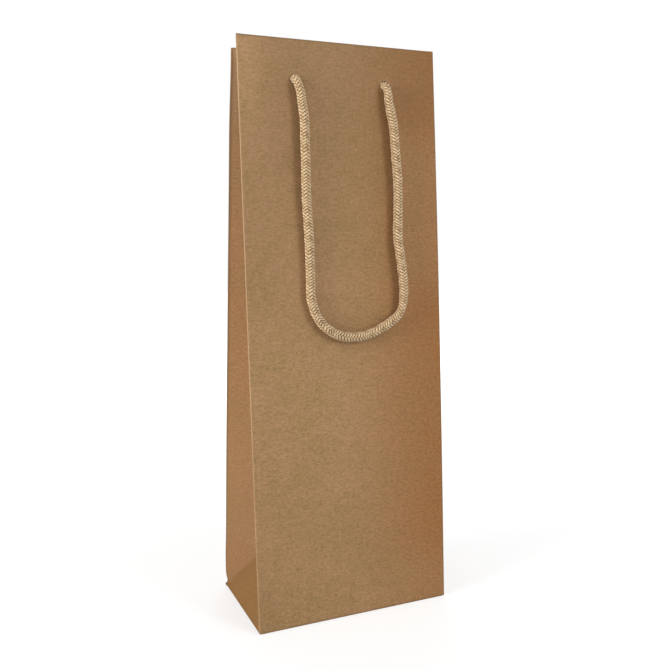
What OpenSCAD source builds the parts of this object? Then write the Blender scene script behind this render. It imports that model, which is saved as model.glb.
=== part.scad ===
// Tall paper bag for one bottle, with folded-in side gussets and two knotted rope handles.
// The bag stands on its base with its mouth nearly closed, as it does before a bottle goes in.
// Millimetres, +Z up. The origin is the middle of the base's underside, and the front faces -Y.

/* [Bag] */
// Width of the front and back walls
bag_w = 130; // [115:1:150]
// Depth of the base from front to back
bag_d = 80; // [70:1:100]
// Length of a wall from its bottom fold to the top edge
bag_h = 360; // [300:5:420]
// Distance between the two walls at the top edge
mouth_gap = 21; // [19:1:34]
// How far the front wall's top edge leans in
front_lean = 13; // [6:1:20]

/* [Paper] */
// Thickness of the paper sheet
paper_t = 0.3; // [0.2:0.05:0.4]
// Depth of the turned-in top hem
hem_h = 40; // [34:1:55]
// Distance from the side folds to the ends of the wall hems and their cards
hem_end = 7; // [6.5:0.5:12]
// Height of the reinforcing card inside each wall hem
top_card_h = 36; // [30:1:38]
// Thickness of the reinforcing card inside each wall hem
top_card_t = 0.8; // [0.4:0.1:0.9]
// Width of the glued strip that closes the sheet into a tube
seam_w = 14; // [8:1:20]

/* [Base] */
// How far each bottom flap reaches past the middle of the base
bottom_lap = 15; // [8:1:25]
// Length of the flap folded in from each side at the base
dust_flap_l = 48; // [30:1:54]
// Thickness of the loose card that lies on the base
base_card_t = 1; // [0.6:0.1:2]
// Gap between the base card and the walls
base_card_gap = 1.2; // [0.8:0.1:3]

/* [Handles] */
// Diameter of the rope
cord_d = 6; // [4:0.5:6]
// Diameter of the punched holes
hole_d = 6.4; // [6.3:0.1:8]
// Distance of each hole from the wall's side fold
hole_inset = 35; // [33:1:38]
// Distance of the holes below the top edge
hole_drop = 24; // [18:1:27]
// Width of a knot across the wall
knot_w = 12; // [9:0.5:13]
// Thickness of a knot away from the wall
knot_t = 7.5; // [6:0.5:8]
// Length of the rope end below a knot's middle
tail_l = 14; // [9:1:20]

/* [Hidden] */
$fn = 48;

// Clear space between pieces that move apart
clear = 0.3;
// Clear space between sheets that lie against each other on a twisted surface
ply_gap = 0.05;
// How far a cutter runs past what it cuts
overrun = 1;

// The gussets fold at half the base's depth
gusset_w = bag_d / 2;
back_lean = bag_d - mouth_gap - front_lean;
front_tilt = asin(front_lean / bag_h);
back_tilt = asin(back_lean / bag_h);

// The point where the gusset's two halves meet its foot, found from equal lengths of paper
apex_z = gusset_w / (1 + (tan(front_tilt) + tan(back_tilt)) / 2);
// Lowest height of the gusset halves, which narrow to nothing at the corners
gusset_start_z = 3;
// Clear space along the creases between the gusset's halves and its foot
foot_gap = 0.5;
// Where the sections of a gusset lie below its hem, as shares of the way from the apex up
gusset_level_shares = [0, 0.06, 0.14, 0.24, 0.36, 0.5, 0.66];
// Where they lie in the hem, as shares of the hem's depth from its lower edge
hem_level_shares = [0, 0.5, 1];
// Sections of the gusset below the apex, as shares of the way to it
foot_level_shares = [0, 0.5];

// Height of the top surface of each layer of paper in the base
base_layer_1 = paper_t;
base_layer_2 = 2 * paper_t;
base_layer_3 = 3 * paper_t;
// Step in the back bottom flap where it rises over the front one
flap_step = 0.2;
// How far the corners of the side flaps are cut back
dust_flap_taper = 9;

// Depth of the wall, its card and its hem, measured in from the outside of the wall
card_in = paper_t;
hem_in = paper_t + top_card_t;
stack_t = hem_in + paper_t;
// The seam strip starts this far in from the side fold and ends this far above the base
seam_inset = 3;
seam_bottom = 6;

// Place and round sizes of the rope where it passes the wall
hole_x = bag_w / 2 - hole_inset;
cord_r = cord_d / 2;
stub_play = 0.15;
stub_r = min(cord_r, hole_d / 2 - stub_play);
// Distance of the rope's turning point from the outside of the wall
cord_out = 5;
stub_out = cord_out - cord_r - clear;
knot_in = stack_t + stub_play;
knot_mid = knot_in + knot_t / 2;
cord_sides = 10;
// Angles of the two shrinking rings that round a rope's end
cap_angles = [60, 30];

// The hanging rope's route from hole to hole: across the wall, below the holes, out from the wall
rope_route = [
    [-30, 0, 5], [-28.5, 6, 5], [-27.5, 14, 4.5], [-26.5, 24, 5], [-26.5, 36, 5],
    [-26.5, 50, 5], [-26.5, 72, 4.5], [-25.5, 96, 4], [-25.5, 118, 4], [-25, 133, 3.5],
    [-19.5, 146, 3.5], [-9, 154, 3.5], [2, 156.5, 3.5], [12, 155.5, 3.5], [22, 151.5, 4],
    [31, 146, 4.5], [35.5, 140.5, 5], [37.5, 130, 5], [37, 118, 5], [35.5, 106, 5],
    [34.5, 94, 4.5], [35, 78, 4.5], [35, 60, 5], [34, 42, 5], [33, 26, 5],
    [31, 14, 4.5], [30, 6, 5], [30, 0, 5]
];

kraft = [0.66, 0.52, 0.38];
kraft_side = [0.62, 0.48, 0.33];
kraft_inside = [0.70, 0.57, 0.42];
card_grey = [0.62, 0.60, 0.56];
rope_beige = [0.80, 0.70, 0.55];

// A wall's own frame: X across, Y in from its outer face, Z up along it from the bottom fold
module on_front() {
    translate([0, -bag_d / 2, 0])
        rotate([-front_tilt, 0, 0])
            children();
}

module on_back() {
    translate([0, bag_d / 2, 0])
        rotate([back_tilt, 0, 0])
            mirror([0, 1, 0])
                children();
}

// A profile drawn as depth and height, carried across the bag
module across(width) {
    translate([-width / 2, 0, 0])
        rotate([90, 0, 90])
            linear_extrude(width)
                children();
}

// The height along a wall at which its inner edge clears the layer of paper below it
function wall_start(tilt, gap) = (base_layer_1 + paper_t * sin(tilt)) / cos(tilt) + gap;

// The two rope holes, cut through whatever lies between depths 0 and stack_t
module rope_holes() {
    for (side = [-1, 1])
        translate([side * hole_x, -overrun, bag_h - hole_drop])
            rotate([-90, 0, 0])
                cylinder(d = hole_d, h = stack_t + 2 * overrun);
}

module wall_sheet(tilt, gap) {
    start = wall_start(tilt, gap);
    difference() {
        translate([-bag_w / 2, 0, start])
            cube([bag_w, paper_t, bag_h - start]);
        rope_holes();
    }
}

// The hem goes over the card's top edge and down its inner side
module wall_hem() {
    difference() {
        across(bag_w - 2 * hem_end)
            polygon([
                [card_in, bag_h],
                [card_in, bag_h - paper_t],
                [hem_in, bag_h - paper_t],
                [hem_in, bag_h - hem_h],
                [stack_t, bag_h - hem_h],
                [stack_t, bag_h]
            ]);
        rope_holes();
    }
}

module wall_card() {
    card_w = bag_w - 2 * hem_end;
    difference() {
        translate([-card_w / 2, card_in, bag_h - paper_t - top_card_h])
            cube([card_w, top_card_t, top_card_h]);
        rope_holes();
    }
}

module front_panel() {
    color(kraft)
        on_front()
            wall_sheet(front_tilt, 0);
}

module back_panel() {
    color(kraft)
        on_back()
            wall_sheet(back_tilt, clear);
}

module front_hem() {
    color(kraft_inside)
        on_front()
            wall_hem();
}

module back_hem() {
    color(kraft_inside)
        on_back()
            wall_hem();
}

module front_top_card() {
    color(card_grey)
        on_front()
            wall_card();
}

module back_top_card() {
    color(card_grey)
        on_back()
            wall_card();
}

// The glued strip lies on the inside of the back wall, below the hem
module side_seam_flap() {
    strip_h = bag_h - hem_h - seam_bottom;
    color(kraft_inside)
        on_back()
            translate([bag_w / 2 - seam_inset - seam_w, paper_t, seam_bottom])
                cube([seam_w, paper_t, strip_h]);
}

// The walls' outer faces at a height, the middle between them, and the gusset's reach inward there
function front_y(z) = -bag_d / 2 + z * tan(front_tilt);
function back_y(z) = bag_d / 2 - z * tan(back_tilt);
function mid_y(z) = (front_y(z) + back_y(z)) / 2;
function half_gap(z) = (back_y(z) - front_y(z)) / 2;
function crease_x(z) = -bag_w / 2 + sqrt(pow(gusset_w, 2) - pow(half_gap(z), 2));

// Height of the crease's upper end, from the length of paper between it and the apex
crease_run = bag_h - gusset_w;
crease_shift = crease_x(bag_h) - crease_x(apex_z);
crease_top_z = apex_z + sqrt(pow(crease_run, 2) - pow(crease_shift, 2)
    - pow(mid_y(bag_h) - mid_y(apex_z), 2));

// Heights of the sections at the wall's fold and at the crease
function fold_z(share) = apex_z + share * (bag_h * cos(back_tilt) - apex_z);
function crease_z(share) = apex_z + share * (crease_top_z - apex_z);
function low_z(share) = gusset_start_z + share * (apex_z - gusset_start_z);
low_levels = [for (s = foot_level_shares) [low_z(s), low_z(s)]];
high_levels = [for (s = gusset_level_shares) [fold_z(s), crease_z(s)]];
hem_share = 1 - hem_h / crease_run;
hem_levels = [for (s = hem_level_shares)
    let (share = hem_share + s * (1 - hem_share))
    [fold_z(share), crease_z(share)]];
gusset_levels = concat(low_levels, high_levels, hem_levels);

// The line where a gusset half ends: the diagonal crease up to the apex, then the middle crease.
// side is -1 for the front half and 1 for the back half
function diagonal_point(z, side) =
    let (share = z / apex_z)
    [
        -bag_w / 2 + share * (crease_x(apex_z) + bag_w / 2),
        side * bag_d / 2 + share * (mid_y(apex_z) - side * bag_d / 2)
    ];
function half_end(z, side) = z < apex_z ? diagonal_point(z, side) : [crease_x(z), mid_y(z)];
function wall_inside(z, side) =
    side < 0 ? front_y(z) + paper_t / cos(front_tilt) : back_y(z) - paper_t / cos(back_tilt);

// One section of a gusset half: its inner and outer edges at the fold and at the crease.
// from and to are its faces' distances outward from the half's inner face
function half_section(level, side, from, to) =
    let (
        fold = [-bag_w / 2, wall_inside(level[0], side)],
        end = half_end(level[1], side),
        run = end - fold,
        angle = atan2(-side * run[1], run[0]),
        out = [-sin(angle), -side * cos(angle)],
        at_fold = fold + [paper_t * sin(angle), 0],
        at_end = [end[0], end[1] + side * (clear / 2 + paper_t * cos(angle))]
    )
    [
        concat(at_fold + from * out, level[0]),
        concat(at_end + from * out, level[1]),
        concat(at_end + to * out, level[1]),
        concat(at_fold + to * out, level[0])
    ];

// A closed skin through sections that have the same number of corners. The two sides of a
// twisted sheet are cut into triangles along the same diagonals, so that it stays even
function skin_faces(count, corners) = concat(
    [[for (c = [0 : corners - 1]) c]],
    [for (k = [0 : count - 2], c = [0 : corners - 1])
        let (
            next = (c + 1) % corners,
            low = k * corners + c,
            low_next = k * corners + next,
            high = (k + 1) * corners + c,
            high_next = (k + 1) * corners + next
        )
        each c < corners / 2
            ? [[low, high, high_next], [low, high_next, low_next]]
            : [[low, high, low_next], [high, high_next, low_next]]],
    [[for (c = [corners - 1 : -1 : 0]) (count - 1) * corners + c]]
);

module skin(sections, flip) {
    corners = len(sections[0]);
    faces = skin_faces(len(sections), corners);
    polyhedron(
        points = [for (s = sections, p = s) p],
        faces = [for (f = faces) flip ? [for (i = [len(f) - 1 : -1 : 0]) f[i]] : f],
        convexity = 6
    );
}

module gusset_half(side) {
    skin([for (level = gusset_levels) half_section(level, side, 0, paper_t)], side > 0);
}

// The hem of a gusset half lies on its inner face, and stops short of the wall's own hem
module gusset_hem(side) {
    difference() {
        skin([for (level = hem_levels)
            half_section(level, side, -paper_t - ply_gap, -ply_gap)], side > 0);
        translate([-bag_w / 2 - overrun, -bag_d, 0])
            cube([hem_end + overrun, 2 * bag_d, 2 * bag_h]);
    }
}

// The foot is the triangle at the bottom of the gusset, which leans in between the diagonals
module gusset_foot() {
    rise = apex_z - base_layer_3;
    lean = crease_x(apex_z) + bag_w / 2;
    angle = atan2(lean, apex_z);
    inward = [paper_t / cos(angle), 0, 0];
    foot_x = -bag_w / 2 + base_layer_3 * tan(angle);
    half_base = bag_d / 2 * (1 - base_layer_3 / apex_z) - 2 * foot_gap;
    top = [
        foot_x + (rise - 2 * foot_gap) * tan(angle),
        mid_y(apex_z),
        apex_z - 2 * foot_gap
    ];
    outer = [[foot_x, -half_base, base_layer_3], [foot_x, half_base, base_layer_3], top];
    polyhedron(
        points = concat(outer, [for (p = outer) p + inward]),
        faces = [[0, 1, 2], [5, 4, 3], [1, 0, 3], [1, 3, 4], [2, 1, 4], [2, 4, 5], [0, 2, 5], [0, 5, 3]],
        convexity = 2
    );
}

module left_gusset_front() {
    color(kraft_side)
        gusset_half(-1);
}

module left_gusset_back() {
    color(kraft_side)
        gusset_half(1);
}

module left_gusset_foot() {
    color(kraft_side)
        gusset_foot();
}

module right_gusset_front() {
    color(kraft_side)
        mirror([1, 0, 0])
            gusset_half(-1);
}

module right_gusset_back() {
    color(kraft_side)
        mirror([1, 0, 0])
            gusset_half(1);
}

module right_gusset_foot() {
    color(kraft_side)
        mirror([1, 0, 0])
            gusset_foot();
}

module left_gusset_front_hem() {
    color(kraft_inside)
        gusset_hem(-1);
}

module left_gusset_back_hem() {
    color(kraft_inside)
        gusset_hem(1);
}

module right_gusset_front_hem() {
    color(kraft_inside)
        mirror([1, 0, 0])
            gusset_hem(-1);
}

module right_gusset_back_hem() {
    color(kraft_inside)
        mirror([1, 0, 0])
            gusset_hem(1);
}

// The front bottom flap lies lowest, and the front wall stands on its fold
module front_bottom_flap() {
    color(kraft)
        translate([-bag_w / 2, -bag_d / 2, 0])
            cube([bag_w, bag_d / 2 + bottom_lap, base_layer_1]);
}

// The back bottom flap steps up over the front one
module back_bottom_flap() {
    front_end = bottom_lap + flap_step;
    color(kraft)
        across(bag_w)
            polygon([
                [bag_d / 2, 0],
                [bag_d / 2, base_layer_1],
                [front_end + paper_t, base_layer_1],
                [front_end + paper_t, base_layer_2],
                [-bottom_lap, base_layer_2],
                [-bottom_lap, base_layer_1],
                [front_end, base_layer_1],
                [front_end, 0]
            ]);
}

// The side flap is folded in from the gusset's foot, above both bottom flaps
module dust_flap() {
    half_root = bag_d / 2 - base_card_gap;
    half_tip = half_root - dust_flap_taper;
    translate([-bag_w / 2, 0, base_layer_2])
        linear_extrude(paper_t)
            polygon([
                [0, -half_root],
                [dust_flap_l, -half_tip],
                [dust_flap_l, half_tip],
                [0, half_root]
            ]);
}

module left_dust_flap() {
    color(kraft_inside)
        dust_flap();
}

module right_dust_flap() {
    color(kraft_inside)
        mirror([1, 0, 0])
            dust_flap();
}

// The loose card stops short of the feet, which lean in over its short edges
module base_card() {
    foot_lean = (crease_x(apex_z) + bag_w / 2) / apex_z;
    card_top = base_layer_3 + base_card_t;
    card_w = bag_w - 2 * (card_top * foot_lean + paper_t + base_card_gap);
    card_d = bag_d - 2 * (card_top * tan(back_tilt) + paper_t + base_card_gap);
    color(card_grey)
        translate([-card_w / 2, -card_d / 2, base_layer_3])
            cube([card_w, card_d, base_card_t]);
}

// A ring of the rope: its middle, the rope's direction there, and its radius
function ring(middle, direction, radius) =
    let (
        u = cross(direction, [0, 1, 0]) / norm(cross(direction, [0, 1, 0])),
        v = cross(direction, u)
    )
    [for (k = [0 : cord_sides - 1])
        let (angle = 360 * k / cord_sides)
        middle + radius * (cos(angle) * u + sin(angle) * v)];

function unit(v) = v / norm(v);
function route_direction(route, i) =
    unit(route[min(i + 1, len(route) - 1)] - route[max(i - 1, 0)]);

// The rounded end of the rope, as rings that shrink away from the route's end
function cap_rings(middle, direction, way) =
    [for (angle = cap_angles)
        ring(middle + way * cord_r * sin(angle) * direction, direction, cord_r * cos(angle))];

// The hanging loop, in a wall's own frame, with its ends at the turning points by the holes
module rope_loop() {
    route = [for (p = rope_route) [p[0], -p[2], bag_h - hole_drop - p[1]]];
    last = len(route) - 1;
    end_rings = cap_rings(route[last], route_direction(route, last), 1);
    rings = concat(
        cap_rings(route[0], route_direction(route, 0), -1),
        [for (i = [0 : last]) ring(route[i], route_direction(route, i), cord_r)],
        [end_rings[1], end_rings[0]]
    );
    skin(rings, false);
}

module front_handle_cord() {
    color(rope_beige)
        on_front()
            rope_loop();
}

module back_handle_cord() {
    color(rope_beige)
        on_back()
            mirror([1, 0, 0])
                rope_loop();
}

// A knot inside the hem, the rope through the hole, and the rope's end hanging from the knot
module knot() {
    translate([0, 0, bag_h - hole_drop]) {
        rotate([-90, 0, 0]) {
            translate([0, 0, -stub_out])
                cylinder(r = stub_r, h = stub_out + knot_mid);
            translate([0, 0, knot_mid])
                rotate_extrude()
                    intersection() {
                        translate([0, -knot_t / 2])
                            square([knot_w / 2, knot_t]);
                        union() {
                            translate([(knot_w - knot_t) / 2, 0])
                                circle(d = knot_t);
                            translate([0, -knot_t / 2])
                                square([(knot_w - knot_t) / 2, knot_t]);
                        }
                    }
        }
        translate([0, knot_mid, -tail_l])
            cylinder(r = cord_r, h = tail_l);
    }
}

module knot_at(side) {
    translate([side * hole_x, 0, 0])
        knot();
}

module front_left_knot() {
    color(rope_beige)
        on_front()
            knot_at(-1);
}

module front_right_knot() {
    color(rope_beige)
        on_front()
            knot_at(1);
}

module back_left_knot() {
    color(rope_beige)
        on_back()
            knot_at(-1);
}

module back_right_knot() {
    color(rope_beige)
        on_back()
            knot_at(1);
}

front_panel();
back_panel();
side_seam_flap();
left_gusset_front();
left_gusset_back();
left_gusset_foot();
right_gusset_front();
right_gusset_back();
right_gusset_foot();
front_hem();
back_hem();
left_gusset_front_hem();
left_gusset_back_hem();
right_gusset_front_hem();
right_gusset_back_hem();
front_top_card();
back_top_card();
front_bottom_flap();
back_bottom_flap();
left_dust_flap();
right_dust_flap();
base_card();
front_handle_cord();
back_handle_cord();
front_left_knot();
front_right_knot();
back_left_knot();
back_right_knot();
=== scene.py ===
import math

import bpy
import numpy as np
from mathutils import Matrix, Vector


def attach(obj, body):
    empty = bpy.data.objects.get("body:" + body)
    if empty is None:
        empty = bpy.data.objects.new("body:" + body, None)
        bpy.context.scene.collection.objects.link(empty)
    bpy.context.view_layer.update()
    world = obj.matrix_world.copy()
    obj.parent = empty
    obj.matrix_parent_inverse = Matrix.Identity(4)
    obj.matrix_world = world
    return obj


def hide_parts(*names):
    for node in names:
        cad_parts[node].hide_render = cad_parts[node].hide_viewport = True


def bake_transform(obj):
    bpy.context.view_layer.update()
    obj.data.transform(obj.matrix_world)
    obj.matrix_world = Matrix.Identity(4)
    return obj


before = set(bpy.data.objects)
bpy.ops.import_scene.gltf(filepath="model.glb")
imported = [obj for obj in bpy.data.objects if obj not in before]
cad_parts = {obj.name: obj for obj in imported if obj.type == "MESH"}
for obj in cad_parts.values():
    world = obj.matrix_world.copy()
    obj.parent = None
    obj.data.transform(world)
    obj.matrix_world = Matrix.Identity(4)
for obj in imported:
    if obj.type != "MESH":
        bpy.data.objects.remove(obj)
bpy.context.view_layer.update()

# Driving dimensions, as in the part's source

MM = 0.001
BAG_W = 130 * MM
BAG_D = 80 * MM
BAG_H = 360 * MM
MOUTH_GAP = 21 * MM
FRONT_LEAN = 13 * MM
BACK_LEAN = BAG_D - MOUTH_GAP - FRONT_LEAN
PAPER_T = 0.3 * MM
HEM_H = 40 * MM
HEM_END = 7 * MM
CARD_T = 0.8 * MM
SEAM_W = 14 * MM
SEAM_INSET = 3 * MM
SEAM_BOTTOM = 6 * MM
BOTTOM_LAP = 15 * MM
DUST_FLAP_L = 48 * MM
DUST_FLAP_TAPER = 9 * MM
CORD_D = 6 * MM
HOLE_D = 6.4 * MM
HOLE_X = 30 * MM
HOLE_UP = BAG_H - 24 * MM
KNOT_W = 12 * MM
KNOT_T = 7.5 * MM
KNOT_PLAY = 0.15 * MM

FRONT_TILT = math.asin(FRONT_LEAN / BAG_H)
BACK_TILT = math.asin(BACK_LEAN / BAG_H)
GUSSET_W = BAG_D / 2
STACK_T = 2 * PAPER_T + CARD_T
KNOT_MID = STACK_T + KNOT_PLAY + KNOT_T / 2

# The rope's route in part.scad, in mm: across the wall, below the holes, out from the wall

ROPE_ROUTE = [
    (-30, 0, 5), (-28.5, 6, 5), (-27.5, 14, 4.5), (-26.5, 24, 5), (-26.5, 36, 5),
    (-26.5, 50, 5), (-26.5, 72, 4.5), (-25.5, 96, 4), (-25.5, 118, 4), (-25, 133, 3.5),
    (-19.5, 146, 3.5), (-9, 154, 3.5), (2, 156.5, 3.5), (12, 155.5, 3.5), (22, 151.5, 4),
    (31, 146, 4.5), (35.5, 140.5, 5), (37.5, 130, 5), (37, 118, 5), (35.5, 106, 5),
    (34.5, 94, 4.5), (35, 78, 4.5), (35, 60, 5), (34, 42, 5), (33, 26, 5),
    (31, 14, 4.5), (30, 6, 5), (30, 0, 5),
]
# How it comes out of each hole and turns down, in place of the route's two points at each end
ROPE_START = [
    (-30.2, 0, -4), (-30.3, -0.1, -1), (-30.5, -0.1, 1.5), (-30.1, 1.6, 3.4),
    (-29.1, 4.8, 4.4), (-28.1, 8.8, 4.6),
]
ROPE_FINISH = [
    (30.2, 8.8, 4.6), (29.9, 4.8, 4.4), (29.5, 1.8, 3.4), (29.1, 0.4, 1.5),
    (29.55, 0.2, -1), (29.75, 0.2, -4),
]
ROPE_LINE = ROPE_START + ROPE_ROUTE[2:-2] + ROPE_FINISH
# Where it is kinked
ROPE_KINK = ROPE_ROUTE[16]


# Places on the walls: x across, up along the wall, out from its outer face

def on_wall(side, tilt, x, up, out):
    y = side * (BAG_D / 2 - up * math.sin(tilt) + out * math.cos(tilt))
    z = up * math.cos(tilt) + out * math.sin(tilt)
    return np.stack(np.broadcast_arrays(x, y, z), axis=-1).astype(float)


def on_front(x, up, out):
    return on_wall(-1, FRONT_TILT, x, up, out)


def on_back(x, up, out):
    return on_wall(1, BACK_TILT, x, up, out)


# Camera, at the photograph's place

CAMERA_PLACE = Vector((-194.77, -475.66, 233.76)) * MM
CAMERA_YAW = math.radians(22.757)
CAMERA_PITCH = math.radians(-6.207)
CAMERA_ROLL = math.radians(-0.969)
CAMERA_LENS = 41.647
CAMERA_SENSOR = 36
CAMERA_NEAR = 0.01
CAMERA_FAR = 100


def add_object(name, data):
    thing = bpy.data.objects.new(name, data)
    bpy.context.scene.collection.objects.link(thing)
    return thing


def add_camera():
    data = bpy.data.cameras.new("camera")
    data.lens = CAMERA_LENS
    data.sensor_width = CAMERA_SENSOR
    data.clip_start = CAMERA_NEAR
    data.clip_end = CAMERA_FAR
    camera = add_object("camera", data)
    yaw = Matrix.Rotation(-CAMERA_YAW, 4, "Z")
    pitch = Matrix.Rotation(math.pi / 2 + CAMERA_PITCH, 4, "X")
    roll = Matrix.Rotation(CAMERA_ROLL, 4, "Z")
    camera.matrix_world = Matrix.Translation(CAMERA_PLACE) @ yaw @ pitch @ roll
    bpy.context.scene.camera = camera


# Steps, humps, windows and directions

def smoothstep(value, low, high):
    t = np.clip((np.asarray(value, float) - low) / (high - low), 0, 1)
    return t * t * (3 - 2 * t)


def rise(value, amount, low, high):
    """0 up to low, and the amount from high on."""
    return amount * smoothstep(value, low, high)


def fall(value, amount, low, high):
    """The amount up to low, and 0 from high on."""
    return amount * (1 - smoothstep(value, low, high))


def hump(value, middle, reach):
    """1 in the middle, falling off to both sides over about the reach."""
    return np.exp(-((value - middle) / reach) ** 2)


def unit(vectors):
    return vectors / np.maximum(np.linalg.norm(vectors, axis=-1, keepdims=True), 1e-12)


def wall_window(at, start, width, soft):
    """1 over a flat stretch of the sheet and 0 at its folds."""
    return smoothstep(at, start, start + soft) * fall(at, 1, start + width - soft, start + width)


# Mesh helpers

def new_piece(name, points, faces, materials):
    mesh = bpy.data.meshes.new(name)
    mesh.from_pydata(np.asarray(points, float).reshape(-1, 3).tolist(), [], faces)
    mesh.update()
    mesh.polygons.foreach_set("use_smooth", [True] * len(mesh.polygons))
    for material in materials:
        mesh.materials.append(material)
    return add_object(name, mesh)


def grid_faces(rows, columns, closed=False, first=0):
    """Faces between neighbouring rows of points, numbered row by row from first."""
    faces = []
    for r in range(rows - 1):
        for c in range(columns if closed else columns - 1):
            low, high = first + r * columns, first + (r + 1) * columns
            after = (c + 1) % columns
            faces.append((low + c, low + after, high + after, high + c))
    return faces


def give_numbers(piece, name, values):
    """Keeps a number for each point of a mesh, for its material to read."""
    attribute = piece.data.attributes.new(name, "FLOAT", "POINT")
    attribute.data.foreach_set("value", np.asarray(values, np.float32).ravel())


def give_flat_map(piece, flat):
    """A UV map that gives each point its place on the flat sheet, in metres."""
    mesh = piece.data
    flat = np.asarray(flat, np.float32).reshape(-1, 2)
    corners = np.zeros(len(mesh.loops), np.int32)
    mesh.loops.foreach_get("vertex_index", corners)
    layer = mesh.uv_layers.new(name="flat")
    layer.data.foreach_set("uv", flat[corners].ravel())


def apply_modifiers(piece):
    """Turns what a piece's modifiers make into its own mesh."""
    graph = bpy.context.evaluated_depsgraph_get()
    made = bpy.data.meshes.new_from_object(piece.evaluated_get(graph), depsgraph=graph)
    old = piece.data
    piece.modifiers.clear()
    piece.data = made
    bpy.data.meshes.remove(old)


def make_paper(piece, flat, wear_and_painted_light, warm_and_shade, painted_shade, inside_slot=0):
    """Gives a drawn sheet its looks, and half its thickness to each side of the drawn surface."""
    give_flat_map(piece, flat)
    for name, values in (("wear_and_painted_light", wear_and_painted_light), ("warm_and_shade", warm_and_shade), ("painted_shade", painted_shade)):
        give_numbers(piece, name, values)
    solid = piece.modifiers.new("thickness", "SOLIDIFY")
    solid.thickness = PAPER_T
    solid.offset = 0
    solid.material_offset = inside_slot
    solid.material_offset_rim = inside_slot
    apply_modifiers(piece)


# Colours and material nodes

def srgb(red, green, blue):
    """A colour as a photograph's 0 to 255 numbers, in the linear form that shaders take."""
    shares = [c / 255 for c in (red, green, blue)]
    return tuple(c / 12.92 if c < 0.04045 else ((c + 0.055) / 1.055) ** 2.4 for c in shares) + (1,)


class Nodes:
    """A short way to write a material's nodes and links."""

    def __init__(self, name):
        self.material = bpy.data.materials.new(name)
        self.material.use_nodes = True
        self.tree = self.material.node_tree
        self.tree.nodes.clear()
        self.shader = self.tree.nodes.new("ShaderNodeBsdfPrincipled")
        self.output = self.tree.nodes.new("ShaderNodeOutputMaterial")
        self.link(self.shader.outputs["BSDF"], self.output.inputs["Surface"])

    def link(self, source, target):
        if isinstance(source, bpy.types.NodeSocket):
            self.tree.links.new(source, target)
        else:
            target.default_value = source

    def node(self, kind, output, inputs, **settings):
        """One of the outputs of a new node that has these settings and inputs."""
        node = self.tree.nodes.new("ShaderNode" + kind)
        for name, value in settings.items():
            setattr(node, name, value)
        for name, value in inputs.items():
            self.link(value, node.inputs[name])
        return node.outputs[output]

    def place(self):
        return self.node("TexCoord", "Object", {})

    def noise(self, place, scale, detail=2, roughness=0.5, distortion=0):
        """Noise with so many features in a metre each way."""
        scaled = self.node("Mapping", "Vector", {"Vector": place, "Scale": scale})
        return self.node("TexNoise", "Fac", {
            "Vector": scaled, "Scale": 1, "Detail": detail, "Roughness": roughness,
            "Distortion": distortion,
        })

    def flat_noise(self, scale, **how):
        """The same on the flat sheet."""
        return self.noise(self.node("UVMap", "UV", {}, uv_map="flat"), scale, **how)

    def math(self, operation, a, b=0.0, c=0.0):
        return self.node("Math", 0, {0: a, 1: b, 2: c}, operation=operation)

    def weighted(self, *parts):
        """The sum of values, each times its weight."""
        total = 0.0
        for value, weight in parts:
            total = self.math("MULTIPLY_ADD", value, weight, total)
        return total

    def ramp(self, value, low, high, out_low=0.0, out_high=1.0):
        """A smooth step of a value from low to high."""
        return self.node("MapRange", "Result", {
            "Value": value, "From Min": low, "From Max": high, "To Min": out_low, "To Max": out_high,
        }, interpolation_type="SMOOTHSTEP")

    def number(self, name):
        """A number kept on the mesh."""
        return self.node("Attribute", "Fac", {}, attribute_name=name)

    def mix(self, share, a, b):
        return self.node("Mix", "Result", {"Factor": share, "A": a, "B": b}, data_type="RGBA")

    def brighten(self, colour, amount):
        """A colour times one number."""
        return self.node("VectorMath", "Vector", {0: colour, "Scale": amount}, operation="SCALE")

    def bump(self, height, distance, strength):
        inputs = {"Height": height, "Distance": distance, "Strength": strength}
        return self.node("Bump", "Normal", inputs)

    def finish(self, colour, roughness, specular, **others):
        """The material, with these numbers and any others of its shader's inputs."""
        inputs = {"Base Color": colour, "Roughness": roughness, "Specular IOR Level": specular}
        for name, value in {**inputs, **others}.items():
            self.link(value, self.shader.inputs[name])
        return self.material


# Kraft paper: short fibres lying mostly along the web, fine ribs, clouds of tone and flecks

KRAFT = srgb(168, 132, 89)
KRAFT_GREEN = srgb(161, 130, 84)
KRAFT_PINK = srgb(174, 134, 98)
# Warm tone on the gussets, and painted shade on the front wall's right side
KRAFT_WARM_SHADE = srgb(152, 103, 56)
# Painted shade on the gussets' feet
KRAFT_FOOT_SHADE = srgb(142, 97, 36)
# Worn paper and pale flecks, and painted light on the front left fold and the gussets' tops
KRAFT_WORN_AND_LIT = srgb(204, 170, 132)
# Painted shade
KRAFT_SHADE = srgb(110, 83, 53)
KRAFT_FLECK = srgb(112, 84, 54)
# Features of each pattern in the paper per metre, across the web, along it and through it
PATCHES = (20, 26, 1)
CLOUDS = (120, 150, 1)
MOTTLE = (480, 640, 1)
FIBRES = (900, 2700, 1)
RIBS = (200, 1500, 1)
FLECKS = (420, 1300, 1)
# What the patterns' tones add up to on average, and how high the grain stands
MEAN_TONE = 1.14
GRAIN = 0.09 * MM


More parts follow.
